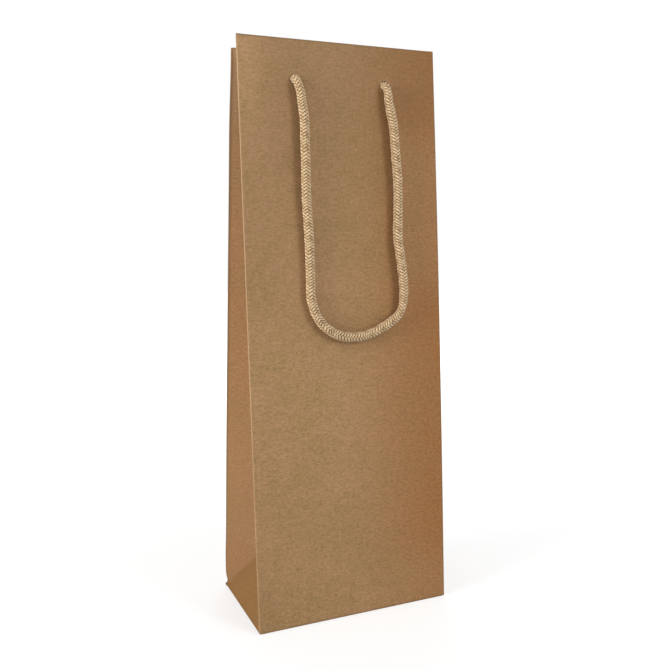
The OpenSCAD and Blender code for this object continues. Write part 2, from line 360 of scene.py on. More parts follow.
def kraft_material(name, light=1.0, wear_and_light_share=1.0):
    n = Nodes(name)
    patches = n.flat_noise(PATCHES, detail=2)
    clouds = n.flat_noise(CLOUDS, detail=3, roughness=0.6)
    mottle = n.flat_noise(MOTTLE, detail=3, roughness=0.65)
    fibres = n.flat_noise(FIBRES, detail=3, roughness=0.65, distortion=0.4)
    ribs = n.flat_noise(RIBS, detail=2, distortion=0.3)
    flecks = n.flat_noise(FLECKS, detail=2, roughness=0.7, distortion=1.5)
    hue = n.weighted((clouds, 0.55), (patches, 0.45))
    colour = n.mix(n.ramp(hue, 0.36, 0.64), KRAFT_GREEN, KRAFT_PINK)
    colour = n.mix(0.4, colour, KRAFT)
    # Warmer and darker: tone on the gussets, painted shade on the front wall's right side
    warm_and_shade = n.math("MULTIPLY", n.number("warm_and_shade"), n.ramp(hue, 0.3, 0.6, 0.75, 1.0))
    colour = n.mix(warm_and_shade, colour, KRAFT_WARM_SHADE)
    # Painted shade on the gussets' feet
    colour = n.mix(n.ramp(n.number("warm_and_shade"), 1.0, 2.0), colour, KRAFT_FOOT_SHADE)
    tone = n.weighted((mottle, 1.0), (fibres, 0.5), (ribs, 0.42), (clouds, 0.2), (patches, 0.16))
    colour = n.brighten(colour, n.math("ADD", tone, light - MEAN_TONE))
    colour = n.mix(n.ramp(flecks, 0.66, 0.75, 0.0, 0.55), colour, KRAFT_FLECK)
    colour = n.mix(n.ramp(flecks, 0.34, 0.25, 0.0, 0.35), colour, KRAFT_WORN_AND_LIT)
    # Paler where worn, and painted light: a highlight along the front left fold and the gussets' tops
    wear_and_painted_light = n.math("MULTIPLY", n.number("wear_and_painted_light"), n.ramp(ribs, 0.25, 0.6, 0.65, 1.0))
    colour = n.mix(n.math("MULTIPLY", wear_and_painted_light, wear_and_light_share), colour, KRAFT_WORN_AND_LIT)
    # Painted shade on the walls, the gussets and their feet, and along the rim, floor line and folds
    colour = n.mix(n.number("painted_shade"), colour, KRAFT_SHADE)
    height = n.weighted((mottle, 0.14), (fibres, 0.5), (ribs, 0.4))
    roughness = n.math("MULTIPLY_ADD", fibres, 0.14, 0.66)
    return n.finish(colour, roughness, 0.32, Normal=n.bump(height, GRAIN, 0.6))


# Greyboard: a pale grey-brown pulp with coarse flecks of several tones

GREYBOARD = srgb(158, 150, 138)
GREYBOARD_PALE = srgb(184, 178, 166)
GREYBOARD_DARK = srgb(112, 102, 90)
# Features of each pattern per metre, and how high the pulp stands
PULP = (900, 900, 900)
CHIPS = (420, 420, 420)
STRANDS = (300, 2200, 2200)
PULP_GRAIN = 0.12 * MM


def greyboard_material():
    n = Nodes("greyboard")
    pulp = n.noise(n.place(), PULP, detail=4, roughness=0.7)
    chips = n.noise(n.place(), CHIPS, detail=2)
    strands = n.noise(n.place(), STRANDS, detail=3, roughness=0.6)
    colour = n.mix(n.ramp(pulp, 0.35, 0.7), GREYBOARD, GREYBOARD_PALE)
    colour = n.mix(n.ramp(chips, 0.62, 0.72, 0.0, 0.7), colour, GREYBOARD_DARK)
    colour = n.brighten(colour, n.math("MULTIPLY_ADD", strands, 0.2, 0.9))
    height = n.weighted((strands, 0.6), (pulp, 0.4))
    return n.finish(colour, 0.88, 0.2, Normal=n.bump(height, PULP_GRAIN, 0.6))


# Rope: soft cotton yarns. The mesh carries the braid, and the nodes add each yarn's own fibres, painted
# shade between the yarns and painted light and shade by side

ROPE_PALE = srgb(231, 204, 165)
ROPE_MID = srgb(157, 120, 74)
# Painted shade, with some dirt, down between the yarns
ROPE_DEEP = srgb(60, 37, 15)
# Features of the yarns' fibres and of the rope's clouds per metre, and how high the fibres stand
YARN_FIBRES = (1400, 2600, 1)
YARN_CLOUDS = (60, 45, 1)
YARN_GRAIN = 0.16 * MM


def rope_material():
    n = Nodes("rope")
    height = n.number("height")
    fibres = n.flat_noise(YARN_FIBRES, detail=3, roughness=0.65, distortion=1.2)
    clouds = n.flat_noise(YARN_CLOUDS, detail=3)
    # Darker the deeper a spot lies between the yarns: painted shade, with some dirt
    colour = n.mix(n.ramp(height, 0.26, 0.7), ROPE_DEEP, ROPE_MID)
    colour = n.mix(n.ramp(height, 0.55, 1.0), colour, ROPE_PALE)
    tone = n.math("MULTIPLY", n.math("MULTIPLY_ADD", fibres, 0.5, 0.76),
                  n.math("MULTIPLY_ADD", clouds, 0.2, 0.9))
    # Painted light and shade: the rope paler on its left side and darker on its right
    tone = n.math("MULTIPLY", tone, n.math("MULTIPLY_ADD", n.number("painted_light"), 0.15, 0.87))
    colour = n.brighten(colour, tone)
    soft = {"Sheen Weight": 0.25, "Sheen Roughness": 0.5}
    return n.finish(colour, 0.92, 0.12, Normal=n.bump(fibres, YARN_GRAIN, 0.8), **soft)


# The bag's sheet: the shape of its middle surface

# Half the width of a fold's rounded back, in the body of the bag and where the hem doubles it
FOLD_R = 0.45 * MM
HEM_FOLD_R = 0.65 * MM
# Half the length of paper that each fold is rounded over
ROUNDING = 0.45 * MM
FRONT_RUN = math.tan(FRONT_TILT)
BACK_RUN = math.tan(BACK_TILT)
APEX_Z = GUSSET_W / (1 + (FRONT_RUN + BACK_RUN) / 2)
FOLD_TOP = BAG_H - HEM_H
# Length of paper below the hem over which the folds widen to the hem's
FOLD_WIDENING = 12 * MM


def half_gap(z):
    return (BAG_D - z * (FRONT_RUN + BACK_RUN)) / 2


def crease_place(z):
    """How far a gusset's crease lies from the middle of the bag, and its place front to back."""
    inward = np.sqrt(GUSSET_W ** 2 - half_gap(z) ** 2)
    return BAG_W / 2 - inward, z * (FRONT_RUN - BACK_RUN) / 2


def crease_top():
    low, high = crease_place(APEX_Z), crease_place(BAG_H)
    run = BAG_H - GUSSET_W
    return APEX_Z + math.sqrt(run ** 2 - (high[0] - low[0]) ** 2 - (high[1] - low[1]) ** 2)


CREASE_TOP_Z = crease_top()

# Places along the paper, from the front wall's left fold round the bag
SPINE = 2 * FOLD_R
RIGHT_START = BAG_W + SPINE
RIGHT_CREASE = RIGHT_START + GUSSET_W
RIGHT_END = RIGHT_CREASE + SPINE + GUSSET_W
BACK_START = RIGHT_END + SPINE
BACK_END = BACK_START + BAG_W
LEFT_START = BACK_END + SPINE
LEFT_CREASE = LEFT_START + GUSSET_W
LEFT_END = LEFT_CREASE + SPINE + GUSSET_W
AROUND = LEFT_END + SPINE


def section(up):
    """The corners of the sheet at one length of paper up the walls, and their places round it."""
    spine = 2 * (FOLD_R + rise(up, HEM_FOLD_R - FOLD_R, FOLD_TOP - FOLD_WIDENING, FOLD_TOP))
    reach = min(up, GUSSET_W)
    share = reach / GUSSET_W
    z = APEX_Z + max(0.0, up - GUSSET_W) / (BAG_H - GUSSET_W) * (CREASE_TOP_Z - APEX_Z)
    crease_x, crease_y = crease_place(z)
    places, corners = [], []
    for side, start, wall, other in ((1, 0.0, on_front, on_back), (-1, BACK_START, on_back, on_front)):
        # Over one fold's back, from this wall towards the other one
        turn = np.array([0, side * spine, 0])
        # This wall, seen from outside, runs from its first fold to its last
        for x in (-side * BAG_W / 2, side * BAG_W / 2):
            corners.append(wall(x, up, -PAPER_T / 2))
        places += [start, start + BAG_W]
        # The gusset after it, up to the crease, and from the crease to the other wall
        fold = corners[-1] + turn
        crease = np.array([side * crease_x, crease_y, z]) - turn / 2
        foot = wall(side * BAG_W / 2, 0, -PAPER_T / 2) + turn
        split = foot + share * (crease - foot)
        far_fold = other(side * BAG_W / 2, up, -PAPER_T / 2) - turn
        far_foot = other(side * BAG_W / 2, 0, -PAPER_T / 2) - turn
        far_split = far_foot + share * (crease + turn - far_foot)
        # Below the apex the two halves of the crease lie on the foot, midway between its edges
        middle = (split + far_split) / 2
        apart = unit(far_split - split) * spine / 2
        corners += [fold, split, middle - apart, middle + apart, far_split, far_fold]
        begin = start + BAG_W + SPINE
        end = begin + SPINE + 2 * GUSSET_W
        places += [begin, begin + reach, begin + GUSSET_W, end - GUSSET_W, end - reach, end]
    return np.array(places), np.array(corners)


def sharp_point(around, up):
    places, corners = section(up)
    places = np.concatenate([places, [AROUND]])
    corners = np.concatenate([corners, corners[:1]])
    at = np.mod(around, AROUND)
    return np.stack([np.interp(at, places, corners[:, k]) for k in range(3)], axis=-1)


def rounded_rows(around, ups):
    """The sheet's middle surface as rows of points, with its folds rounded."""
    offsets = np.linspace(-ROUNDING, ROUNDING, 9)
    rows = [np.mean([sharp_point(around + o, up) for o in offsets], axis=0) for up in ups]
    return np.array(rows)


# The paper's waves: a height, a length up the sheet, a slant across it on the walls, and what a
# stretch's phase is multiplied by. Stretches of the paper: a start round the sheet, and a phase

WALL_WAVES = (
    (0.2 * MM, 190 * MM, 0.35, 1), (0.13 * MM, 93 * MM, -0.8, 2.3), (0.05 * MM, 41 * MM, 1.7, 5),
)
WALL_STRETCHES = ((0, 0.4), (BACK_START, 2.1))
GUSSET_WAVES = ((0.5 * MM, 230 * MM, 1), (0.18 * MM, 71 * MM, 3))
GUSSET_STRETCHES = (
    (RIGHT_START, 1), (RIGHT_CREASE + SPINE, 2.6), (LEFT_START, 0.2), (LEFT_CREASE + SPINE, 3.3),
)
# How far the gussets' paper is sucked in, and the flat margins that keep the folds straight
GUSSET_HOLLOW = 0.15 * MM
WALL_MARGIN = 40 * MM
GUSSET_MARGIN = 18 * MM
WAVES_TOP = FOLD_TOP - 4 * MM


def waves(around, ups):
    """How far the paper bulges outward from flat, which is less than the rope's clearance."""
    u, s = np.meshgrid(np.mod(around, AROUND), ups)
    body = np.sin(np.pi * np.clip(s / WAVES_TOP, 0, 1))
    total = np.zeros_like(u)
    for start, phase in WALL_STRETCHES:
        x = (u - start) / BAG_W
        bulge = sum(height * np.sin(2 * np.pi * (s / length + slant * x) + times * phase)
                    for height, length, slant, times in WALL_WAVES)
        total += wall_window(u, start, BAG_W, WALL_MARGIN) * body * bulge
    for start, phase in GUSSET_STRETCHES:
        bulge = sum(height * np.sin(2 * np.pi * s / length + times * phase)
                    for height, length, times in GUSSET_WAVES)
        total += wall_window(u, start, GUSSET_W, GUSSET_MARGIN) * body * (bulge - GUSSET_HOLLOW)
    return total


# What keeps this bag from being perfect: its right side is bowed, its top left corner has moved
# across and down, and its back left fold is bulged, pinched and bent at the foot

RIGHT_BOW = 0.9 * MM
BOW_AT_ENDS = 0.4
BOW_LOST_AT_BACK = 0.5
LEFT_SHIFT = 1.6 * MM
LEFT_SHIFT_FROM = 60 * MM
CORNER_SHIFT = 0.8 * MM
CORNER_SHIFT_H = 50 * MM
CORNER_DROP = 0.7 * MM
CORNER_DROP_H = 60 * MM
# The foot's dents have a middle height, a reach up the fold and, near the corner, one from it
LEFT_BULGE = 0.3 * MM
BULGE_UP, BULGE_REACH = 24 * MM, 12 * MM
CORNER_PINCH = 1.2 * MM
PINCH_UP, PINCH_REACH, PINCH_FROM_CORNER = 3 * MM, 4.5 * MM, 12 * MM
PINCH_START = 0.5 * MM
DOG_EAR = 0.5 * MM
EAR_UP, EAR_REACH, EAR_FROM_CORNER = 0.8 * MM, 1.2 * MM, 3 * MM


def lived_in(points, ups):
    """Moves the sheet's points to where this bag's paper has gone."""
    p = points.copy()
    s = np.asarray(ups)[:, None]
    x, y, z = points[..., 0], points[..., 1], points[..., 2]
    depth = (y - z * (FRONT_RUN - BACK_RUN) / 2) / half_gap(z)
    back = smoothstep(depth, -1, 1)
    right = smoothstep(x, 0, BAG_W / 2)
    left = smoothstep(-x, 0, BAG_W / 2)
    bow = BOW_AT_ENDS + np.sin(np.pi * np.clip(s / BAG_H, 0, 1))
    p[..., 0] += RIGHT_BOW * bow * right * (1 - BOW_LOST_AT_BACK * back)
    shift = rise(s, LEFT_SHIFT, LEFT_SHIFT_FROM, BAG_H)
    shift = shift + rise(s, CORNER_SHIFT, BAG_H - CORNER_SHIFT_H, BAG_H)
    p[..., 0] += shift * left * back
    beyond_card = smoothstep(-x, BAG_W / 2 - HEM_END, BAG_W / 2)
    p[..., 2] -= rise(s, CORNER_DROP, BAG_H - CORNER_DROP_H, BAG_H) * beyond_card * back
    p[..., 0] -= LEFT_BULGE * hump(s, BULGE_UP, BULGE_REACH) * left * back
    from_corner = np.hypot(x + BAG_W / 2, y - BAG_D / 2)
    pinched = hump(s, PINCH_UP, PINCH_REACH) * hump(from_corner, 0, PINCH_FROM_CORNER)
    bent = hump(s, EAR_UP, EAR_REACH) * hump(from_corner, 0, EAR_FROM_CORNER)
    p[..., 0] += pinched * rise(s, CORNER_PINCH, PINCH_START, PINCH_UP) - DOG_EAR * bent
    return p


def outward_normals(rows, closed=True):
    if closed:
        across = np.roll(rows, -1, axis=1) - np.roll(rows, 1, axis=1)
    else:
        across = np.gradient(rows, axis=1)
    return unit(np.cross(across, np.gradient(rows, axis=0)))


def sheet_rows(around, ups, closed=True):
    rows = rounded_rows(around, ups)
    normals = outward_normals(rows, closed)
    rows = rows + normals * waves(around, ups)[..., None]
    return lived_in(rows, ups), normals


# The bag's sheet: where its grid lines lie

# Distances from a fold, close together where the paper turns
NEAR_FOLD = np.array([0, 0.15, 0.3, 0.45, 0.9, 1.6, 2.6, 4, 5.5, 7]) * MM
ACROSS_WALL = np.concatenate([
    NEAR_FOLD, np.linspace(9.2, 120.8, 46) * MM, (BAG_W - NEAR_FOLD)[::-1]
])
ACROSS_HALF = np.concatenate([
    NEAR_FOLD[:8], np.linspace(6.2, 33.8, 12) * MM, (GUSSET_W - NEAR_FOLD[:8])[::-1]
])
ACROSS_SPINE = np.array([0.17, 0.34, 0.5, 0.66, 0.83]) * SPINE
UPS = np.concatenate([
    ACROSS_HALF[3:],
    GUSSET_W + np.array([0.5, 1.5, 3.5, 6.5]) * MM,
    np.linspace(GUSSET_W + 10 * MM, FOLD_TOP - 4 * MM, 64),
    FOLD_TOP + np.array([-2, -1, 0, 1, 2]) * MM,
    np.linspace(FOLD_TOP + 5 * MM, BAG_H - 6 * MM, 9),
    BAG_H - np.array([4, 2.6, 1.6, 0.8, 0]) * MM,
])


def grid_around():
    stretches = []
    for wall, gusset in ((0, RIGHT_START), (BACK_START, LEFT_START)):
        stretches.append(wall + ACROSS_WALL)
        for start in (gusset, gusset + GUSSET_W + SPINE):
            stretches += [start - SPINE + ACROSS_SPINE, start + ACROSS_HALF]
        stretches.append(gusset + 2 * GUSSET_W + SPINE + ACROSS_SPINE)
    return np.concatenate(stretches)


# Where the paper is worn and warm in tone, and where light and shade are painted on it, at places u
# round the sheet and s up it

# How far wear reaches from a fold or a hole, the worn folds and how worn they are
WORN_REACH = 0.7 * MM
WORN_FOLDS = ((BAG_W, 0.2), (RIGHT_END, 0.35), (BACK_END, 0.1))
CREASE_WEAR = 0.35
HOLE_WEAR = 0.5
# How much paler the front wall is low towards its right, and along the top of its left fold
FRONT_FOOT_PALE = 0.08
CORNER_PALE = 0.06
# The patches along the front left fold's painted highlight and wear: where the first one starts up the
# sheet, and their spacing
PATCH_START = 44 * MM
PATCH_STEP = 34 * MM
# How warm the gussets are, how far their feet are painted with shade, and how much less painted shade
# the front wall has in two places
GUSSET_WARM = 0.62
FOOT_WARM_SHADE = 2.0
COOL_BY_ROPE = 0.32
COOL_AT_FOOT = 0.12
# How dark the painted shade is: low on the gussets, on their feet, along the rim, the floor line and
# the folds
GUSSET_LOW_SHADE = 0.28
FOOT_SHADE = 0.46
FOOT_SHADE_FALL = 0.12
RIM_SHADE = 0.55
FLOOR_SHADOW = 0.6
RIGHT_FOLD_SHADE = 0.65
BACK_FOLD_SHADE = 0.8


def near_fold(around, start, before, after):
    """1 over the fold that starts at that place round the sheet, falling to 0 on both sides of it."""
    at = np.mod(around - start + AROUND / 2, AROUND) - AROUND / 2
    return smoothstep(at, -before, 0) * fall(at, 1, SPINE, SPINE + after)


def in_stretch(u, start, width):
    return (u >= start) & (u <= start + width)


def on_gusset(u, start):
    return in_stretch(u, start, SPINE + 2 * GUSSET_W)


def below_foot_fold(u, s, start):
    """How far a gusset's paper lies below the fold of its foot triangle."""
    return GUSSET_W - np.abs(u - start - GUSSET_W - SPINE / 2) - s


def unshaded_corner(u, s):
    """1 along the top of the front left fold, where the walls get no painted shade and are a little
    paler.
    """
    return fall(u, 1, 5 * MM, 16 * MM) * rise(s, 1, 300 * MM, 332 * MM)


def front_left_highlight_and_wear(u, s):
    """The pale line along the front left fold, a painted highlight with some wear, patchy low down and
    nearly gone at the rim.
    """
    patches = 0.4 + 0.4 * np.sin(2 * np.pi * (s - PATCH_START) / PATCH_STEP)
    wear_and_painted_light = (0.1 + rise(s, 0.55, 10 * MM, 260 * MM)) * (1 - patches * fall(s, 1, 100 * MM, 140 * MM))
    wear_and_painted_light = wear_and_painted_light * (1 - rise(s, 0.8, BAG_H - 10 * MM, BAG_H - 7 * MM))
    return wear_and_painted_light * near_fold(u, LEFT_END, 1.9 * MM, 0.4 * MM)


def fold_wear_and_light(u, s):
    """How far worn, paler paper and painted light show, most on the front left fold, with painted light
    on the gussets' tops.
    """
    at_foot = fall(s, FRONT_FOOT_PALE, 15 * MM, 50 * MM) * rise(u, 1, 78 * MM, 105 * MM) * (u < BAG_W)
    wear_and_painted_light = np.maximum(front_left_highlight_and_wear(u, s), np.maximum(at_foot, CORNER_PALE * unshaded_corner(u, s)))
    for start, most in WORN_FOLDS:
        wear_and_painted_light = np.maximum(wear_and_painted_light, most * near_fold(u, start, WORN_REACH, WORN_REACH))
    # Painted light: the gussets paler towards their tops
    painted_light = 0.04 + rise(s, 0.22, 200 * MM, 340 * MM) + rise(s, 0.25, 300 * MM, 350 * MM)
    for start, crease in ((RIGHT_START, RIGHT_CREASE), (LEFT_START, LEFT_CREASE)):
        creased = CREASE_WEAR * near_fold(u, crease, WORN_REACH, WORN_REACH)
        wear_and_painted_light = np.maximum(wear_and_painted_light, creased * (s > GUSSET_W))
        wear_and_painted_light = np.maximum(wear_and_painted_light, painted_light * on_gusset(u, start) * (s >= GUSSET_W))
    for start in (0, BACK_START):
        for x in (-HOLE_X, HOLE_X):
            from_hole = np.hypot(u - start - BAG_W / 2 - x, s - HOLE_UP) - HOLE_D / 2
            wear_and_painted_light = np.maximum(wear_and_painted_light, fall(from_hole, HOLE_WEAR, 0, WORN_REACH))
    return wear_and_painted_light


def warmth_and_painted_shade(u, s, x):
    """Painted shade, redder and darker, towards the front wall's right side, warmer tone on the
    gussets, and painted shade on their feet.
    """
    by_rope = rise(s, COOL_BY_ROPE, 190 * MM, 230 * MM) * fall(s, 1, 290 * MM, 320 * MM)
    warm_and_shade = rise(x, 1, -15 * MM, 70 * MM) - rise(x, by_rope, 28 * MM, 44 * MM)
    warm_and_shade = (warm_and_shade - fall(s, COOL_AT_FOOT, 10 * MM, 50 * MM) * (x > 0)) * in_stretch(u, 0, BAG_W + SPINE)
    for start in (RIGHT_START, LEFT_START):
        on_foot = rise(below_foot_fold(u, s, start), FOOT_WARM_SHADE - GUSSET_WARM, -3 * MM, 3 * MM)
        warm_and_shade = np.where(on_gusset(u, start), GUSSET_WARM + on_foot, warm_and_shade)
    return warm_and_shade


def wall_painted_shade(s, from_left):
    """The walls' broad painted shade, at places up the sheet and from the bag's left side."""
    middle = rise(s, 0.16, 170 * MM, 300 * MM) + rise(s, 0.14, 290 * MM, 340 * MM)
    # A painted shadow under the rope's loop
    middle = middle + 0.12 * hump(s, 182 * MM, 18 * MM)
    at_left = rise(s, 0.2, 150 * MM, 240 * MM) * (1 - rise(s, 0.3, 320 * MM, 345 * MM))
    at_right = middle * (0.35 + rise(s, 0.65, 300 * MM, 330 * MM))
    below = fall(s, 0.08, 40 * MM, 180 * MM) * fall(from_left, 1, 70 * MM, 120 * MM)
    at_corner = fall(s, 0.08, 20 * MM, 45 * MM) * fall(from_left, 1, 8 * MM, 20 * MM)
    by_hole = rise(from_left, 1, 10 * MM, 22 * MM) * fall(from_left, 1, 36 * MM, 46 * MM)
    return (middle + fall(from_left, at_left - middle, 20 * MM, 55 * MM)
            + rise(from_left, at_right - middle, 86 * MM, 102 * MM)
            + below + at_corner + rise(s, 0.1, 265 * MM, 290 * MM) * by_hole)


def paper_painted_shade(u, s):
    """Painted shade on the walls, the gussets and their feet, darker along the rim, the floor and the
    folds.
    """
    on_walls = in_stretch(u, 0, BAG_W) | in_stretch(u, BACK_START, BAG_W)
    from_left = np.where(u < BAG_W, u, BACK_END - u)
    painted_shade = wall_painted_shade(s, from_left) * (1 - unshaded_corner(u, s)) * on_walls
    for start in (RIGHT_START, LEFT_START):
        below_fold = below_foot_fold(u, s, start)
        # Painted shade, low on the gussets and on their feet
        low = fall(s, GUSSET_LOW_SHADE, 30 * MM, 200 * MM)
        foot = FOOT_SHADE - rise(below_fold, FOOT_SHADE_FALL, 2 * MM, 24 * MM)
        gusset = low + rise(below_fold, foot - low, -4 * MM, 3 * MM)
        painted_shade = np.maximum(painted_shade, gusset * on_gusset(u, start))
    # Painted shade along the rim, the floor line and the front right and back left folds, and at the
    # bent corner
    for edge in (
        rise(s, RIM_SHADE, BAG_H - 1.3 * MM, BAG_H),
        fall(s, FLOOR_SHADOW, 0.4 * MM, 1.7 * MM),
        RIGHT_FOLD_SHADE * near_fold(u, BAG_W, 1.1 * MM, 0.9 * MM),
        BACK_FOLD_SHADE * near_fold(u, BACK_END, 0.9 * MM, 2.2 * MM),
        # The bent corner's painted shade
        near_fold(u, BACK_END, 3 * MM, 6 * MM) * hump(s, 1.3 * MM, 1.8 * MM),
    ):
        painted_shade = np.maximum(painted_shade, edge)
    return painted_shade


# Where the hem's paper, coming from a fold, starts to rise over the card, and over what length
HEM_RAMP_START = 1.5 * MM
HEM_RAMP = 3 * MM
# The gap behind the hem beside the card, and how far and over what height its edge springs out
HEM_GAP = 0.05 * MM
HEM_SPRING = 0.25 * MM
HEM_SPRING_H = 14 * MM


def hem_offset(around):
    """How far in from the wall's paper the hem's paper lies: past the card, or close to it."""
    close = PAPER_T + HEM_GAP
    at = np.mod(around, AROUND)
    over_card = sum(wall_window(at, start + HEM_RAMP_START, BAG_W - 2 * HEM_RAMP_START, HEM_RAMP)
                    for start in (0, BACK_START))
    return close + (PAPER_T + CARD_T - close) * over_card


def bag_rows():
    """All rows of the sheet: up the outside, over the rim and down the inside of the hem."""
    around = grid_around()
    offset = hem_offset(around)
    rows, normals = sheet_rows(around, UPS)
    top = BAG_H - PAPER_T / 2 - offset / 2
    # The rows near the top are drawn in a little, to leave room for the turn of the rim
    start = UPS[-6]
    for r, up in enumerate(UPS):
        if up > start:
            drop = (up - start) / (BAG_H - start) * (BAG_H - top)
            rows[r] -= unit(rows[r] - rows[r - 1]) * drop[:, None]
    upward = unit(rows[-1] - rows[-3])
    inward = -normals[-1]
    over = []
    for angle in np.radians([22, 45, 67, 90, 113, 135, 158]):
        turn = upward * np.sin(angle) + inward * (1 - np.cos(angle))
        over.append(rows[-1] + turn * offset[:, None] / 2)
    down = []
    for r in reversed(range(len(UPS))):
        if UPS[r] >= FOLD_TOP:
            spring = fall(UPS[r], HEM_SPRING, FOLD_TOP, FOLD_TOP + HEM_SPRING_H)
            down.append(rows[r] - normals[r] * (offset + spring)[:, None])
    return around, np.concatenate([rows, over, down]), len(rows), len(over)


def bag_paper(materials):
    around, rows, outside, over = bag_rows()
    faces = grid_faces(len(rows), len(around), closed=True)
    piece = new_piece("bag_paper", rows, faces, materials)
    hem = len(rows) - outside - over
    hem_ups = UPS[-hem:][::-1]
    ups = np.concatenate([UPS, [BAG_H] * over, hem_ups])
    flat_up = np.concatenate([UPS, np.linspace(BAG_H, BAG_H + 2 * MM, over), 2 * BAG_H - hem_ups])
    u, v = np.meshgrid(around, flat_up)
    s = np.broadcast_to(ups[:, None], u.shape)
    make_paper(piece, np.stack([u, v], axis=-1), fold_wear_and_light(u, s),
               warmth_and_painted_shade(u, s, rows[..., 0]), paper_painted_shade(u, s), inside_slot=1)
    punch(piece)
    return piece


PUNCH_SIDES = 40
PUNCH_REACH = 4 * MM


def punch(piece):
    """Cuts the four rope holes, where a punch went through wall, card and hem at once."""
    points, faces = [], []
    across = np.array([1.0, 0, 0])
    for wall in (on_front, on_back):
        upward = wall(0, 1, 0) - wall(0, 0, 0)
        for side in (-1, 1):
            first = len(points)
            for out in (PUNCH_REACH, -PUNCH_REACH):
                middle = wall(side * HOLE_X, HOLE_UP, out)
                for k in range(PUNCH_SIDES):
                    a = 2 * math.pi * k / PUNCH_SIDES
                    points.append(middle + HOLE_D / 2 * (math.cos(a) * across + math.sin(a) * upward))
            outer = range(first, first + PUNCH_SIDES)
            inner = range(first + PUNCH_SIDES, first + 2 * PUNCH_SIDES)
            for k in range(PUNCH_SIDES):
                after = (k + 1) % PUNCH_SIDES
                faces.append((outer[k], inner[k], inner[after], outer[after]))
            faces.append(tuple(outer))
            faces.append(tuple(reversed(inner)))
    cutter = new_piece("punch", points, faces, [])
    cut = piece.modifiers.new("holes", "BOOLEAN")
    cut.operation = "DIFFERENCE"
    cut.solver = "EXACT"
    cut.object = cutter
    apply_modifiers(piece)
    bpy.data.objects.remove(cutter)
    piece.data.set_sharp_from_angle(angle=math.radians(50))


# The base: flaps folded in below the walls and the gussets' feet

FLOOR_TURN = 0.3 * MM
TURN_ANGLES = np.radians([0, 30, 60, 90])
FLAP_L = BAG_D / 2 + BOTTOM_LAP
# The front flap's edge, from the back flap's fold. The back flap climbs over it
LAP_EDGE = BAG_D - FLAP_L
DUST_FLAP_ROOT = BAG_D / 2 - 1.3 * MM
# Where each flap's rows of points lie, from its fold
FRONT_FLAP_ROWS = np.array([1, 3, 8, 16, 26, 36, 46, 54, 55]) * MM
BACK_FLAP_ROWS = np.array([1, 3, 8, 16, 23, 24.2, 24.8, 25.4, 27, 36, 46, 54, 55]) * MM
DUST_FLAP_ROWS = np.array([1, 3, 8, 16, 26, 36, 44, 47, 48]) * MM
FLAP_EDGE_WEAR = 0.6
# Painted shade along the flaps' folds
FLAP_FOLD_SHADE = 0.3
STRIP_EDGE_WEAR = 0.3
GLUE_GAP = 0.01 * MM
# Shifts that give these papers a pattern of their own
DUST_SHIFT = 0.2
STRIP_SHIFT = 0.5


def flap_profile(inward, heights):
    """Points from a flap's edge to its fold and up to the wall's bottom row, as depth and height."""
    turn = [(FLOOR_TURN * (1 - math.cos(a)), heights[0] + FLOOR_TURN * (1 - math.sin(a)))
            for a in TURN_ANGLES]
    return (turn + list(zip(inward, heights)))[::-1]


def wall_flap(side, inward, heights):
    """Rows of points of the front (-1) or back (1) flap, and their places on the flat sheet."""
    across = (ACROSS_WALL - BAG_W / 2)[4:-4]
    profile = flap_profile(inward, heights)
    rows = [[(-side * x, side * (BAG_D / 2 - PAPER_T / 2 - depth), z) for x in across]
            for depth, z in profile]
    return rows, [[(BAG_W / 2 + x, -depth) for x in across] for depth, z in profile]


def dust_flap(side):
    """The same of the left (-1) or right (1) flap, which lies on the other two and is tapered."""
    along = np.linspace(-1, 1, 25)
    rows, flat_rows = [], []
    for depth, z in flap_profile(DUST_FLAP_ROWS, np.full(len(DUST_FLAP_ROWS), 2.5 * PAPER_T)):
        half = DUST_FLAP_ROOT - DUST_FLAP_TAPER * depth / DUST_FLAP_L
        x = side * (BAG_W / 2 - PAPER_T / 2 - depth)
        rows.append([(x, side * share * half, z) for share in along])
        flat_rows.append([(share * half + DUST_SHIFT, -depth) for share in along])
    return rows, flat_rows


def base_paper(materials):
    low = PAPER_T / 2
    back_high = low + rise(BACK_FLAP_ROWS, PAPER_T, LAP_EDGE - 1 * MM, LAP_EDGE + 0.6 * MM)
    flaps = [
        wall_flap(-1, FRONT_FLAP_ROWS, np.full(len(FRONT_FLAP_ROWS), low)),
        wall_flap(1, BACK_FLAP_ROWS, back_high), dust_flap(-1), dust_flap(1),
    ]
    points, faces, flat, wear_and_painted_light, painted_shade = [], [], [], [], []
    for rows, flat_rows in flaps:
        columns = len(rows[0])
        faces.extend(grid_faces(len(rows), columns, first=len(points)))
        for i, (row, flat_row) in enumerate(zip(rows, flat_rows)):
            points.extend(row)
            flat.extend(flat_row)
            wear_and_painted_light.extend([FLAP_EDGE_WEAR if i == 0 else 0.0] * columns)
            painted_shade.extend([FLAP_FOLD_SHADE if i >= len(rows) - len(TURN_ANGLES) else 0.0] * columns)
    piece = new_piece("base_paper", points, faces, materials)
    make_paper(piece, flat, wear_and_painted_light, np.zeros(len(points)), painted_shade, inside_slot=1)
    return piece


def seam_strip(material):
    """The glued strip inside the back wall, which closes the sheet into a tube."""
    left = BACK_START + SEAM_INSET
    around = np.linspace(left, left + SEAM_W, 8)
    ups = UPS[(UPS > SEAM_BOTTOM) & (UPS <= FOLD_TOP - 1.5 * MM)]
    rows, normals = sheet_rows(around, ups, closed=False)
    rows = rows - normals * (PAPER_T + GLUE_GAP)
    piece = new_piece("seam_strip", rows, grid_faces(len(ups), len(around)), [material])
    u, v = np.meshgrid(around, ups)
    wear_and_painted_light = np.zeros_like(u)
    wear_and_painted_light[:, [0, -1]] = STRIP_EDGE_WEAR
    make_paper(piece, np.stack([u + STRIP_SHIFT, v], axis=-1), wear_and_painted_light, np.zeros_like(u), np.zeros_like(u))
    return piece


# The rope

